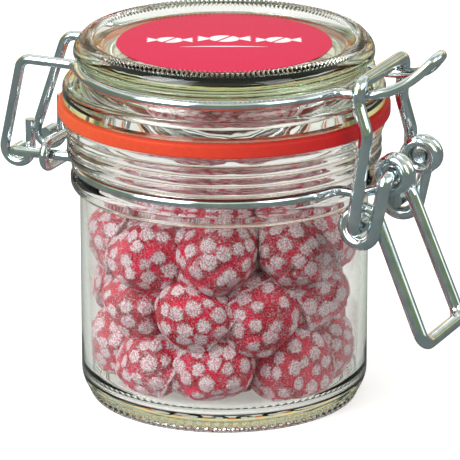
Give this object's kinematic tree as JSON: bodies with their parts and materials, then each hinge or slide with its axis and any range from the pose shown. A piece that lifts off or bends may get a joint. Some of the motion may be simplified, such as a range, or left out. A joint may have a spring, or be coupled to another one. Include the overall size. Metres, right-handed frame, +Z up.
{
  "type": "clip-top candy jar",
  "caption": "Small round glass jar of sugared berry candies, closed by a glass lid with a rubber ring, a wire hinge and an over-centre wire clasp.",
  "frame": {"origin": "on the jar's axis, at the ring the jar stands on", "axes": "+Z up along the jar's axis, +X towards the clasp, +Y to the left of the line from the hinge to the clasp, seen from above"},
  "size_m": [0.0992, 0.0688, 0.079],
  "materials": {
    "glass": "clear, faintly green pressed glass",
    "rubber": "satin orange-red rubber",
    "label": "smooth raspberry-pink paper",
    "wire": "bright zinc-plated steel wire",
    "candy": "red boiled sugar with white and pink sugar grains"
  },
  "bodies": {
    "jar": {"jar_glass": "glass", "neck_wire_near": "wire", "neck_wire_far": "wire", "arm_link": "wire", "candy_heap": "candy"},
    "lid": {"lid_glass": "glass", "lid_label": "label", "lid_wire": "wire", "rubber_ring": "rubber"},
    "lever": {"lever_wire": "wire"},
    "bail": {"bail_wire": "wire"}
  },
  "joints": [
    {"name": "lid_hinge", "type": "hinge", "parent": "jar", "child": "lid", "pos_m": [-0.0445, 0, 0.0489], "axis": [0, -1, 0], "range_deg": [0, 105]},
    {"name": "lever_pivot", "type": "hinge", "parent": "jar", "child": "lever", "pos_m": [0.0412, 0, 0.0544], "axis": [0, -1, 0], "range_deg": [0, 115], "deforming": ["bail_wire"]},
    {"name": "bail_pivot", "type": "hinge", "parent": "lever", "child": "bail", "pos_m": [0.0353, 0, 0.0434], "axis": [0, -1, 0], "range_deg": [-115, 0]}
  ],
  "couplings": [
    {"joint": "bail_pivot", "follows": "lever_pivot", "ratio": -1}
  ]
}
